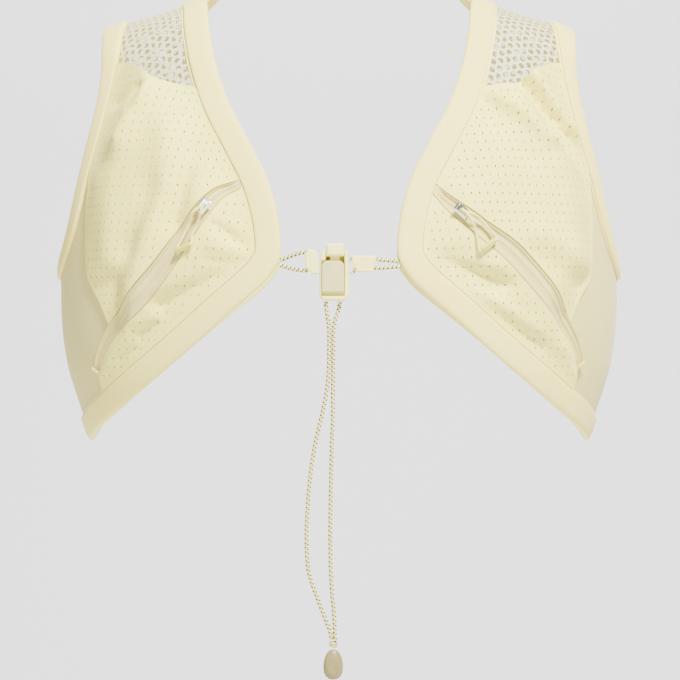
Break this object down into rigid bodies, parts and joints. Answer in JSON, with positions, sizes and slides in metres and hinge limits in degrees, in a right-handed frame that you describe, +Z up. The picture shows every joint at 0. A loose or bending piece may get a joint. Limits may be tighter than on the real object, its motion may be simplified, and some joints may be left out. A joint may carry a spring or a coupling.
{
  "type": "running hydration vest",
  "caption": "Light running vest in worn form with front flask pockets, slanted zips, net shoulders, folded edge bands and an elastic sternum closure with hanging cord.",
  "frame": {"origin": "middle between the shoulders at the height of the crest's neck side, where the wearer's shoulders hold the vest up", "axes": "+X to the viewer's right, the front faces -Y, +Z up"},
  "size_m": [0.3604, 0.2299, 0.4522],
  "materials": {
    "net": "matt open knitted net",
    "cloth": "matt perforated stretch cloth",
    "binding": "matt smooth folded band",
    "pull": "fine braided loop with a soft sleeve",
    "moulded": "satin moulded",
    "plate": "satin, slightly clouded",
    "cord": "braided elastic with dark flecks",
    "slider": "polished"
  },
  "bodies": {
    "root": {"neck_binding_right": "binding", "hem_binding_right": "binding", "arm_binding_right": "binding", "base_mesh_right": "net", "back_mesh_right": "net", "side_panel_right": "cloth", "bottle_pocket_right": "cloth", "zip_garage_right": "cloth", "lower_panel_right": "cloth", "zip_slider_right": "slider", "zip_stop_right": "cloth", "zip_pull_right": "pull", "neck_binding_left": "binding", "hem_binding_left": "binding", "arm_binding_left": "binding", "base_mesh_left": "net", "back_mesh_left": "net", "side_panel_left": "cloth", "bottle_pocket_left": "cloth", "zip_garage_left": "cloth", "lower_panel_left": "cloth", "zip_slider_left": "slider", "zip_stop_left": "cloth", "zip_pull_left": "pull", "nape_yoke": "binding", "lock_housing": "moulded", "lock_plate": "plate", "lock_button": "moulded", "hook_end": "moulded", "cord_clip": "moulded", "sternum_cord_left": "cord", "sternum_cord_upper": "cord", "sternum_cord_lower": "cord", "tail_cord_left": "cord", "tail_cord_right": "cord", "tail_knot": "cord", "cord_end": "plate"}
  },
  "joints": []
}
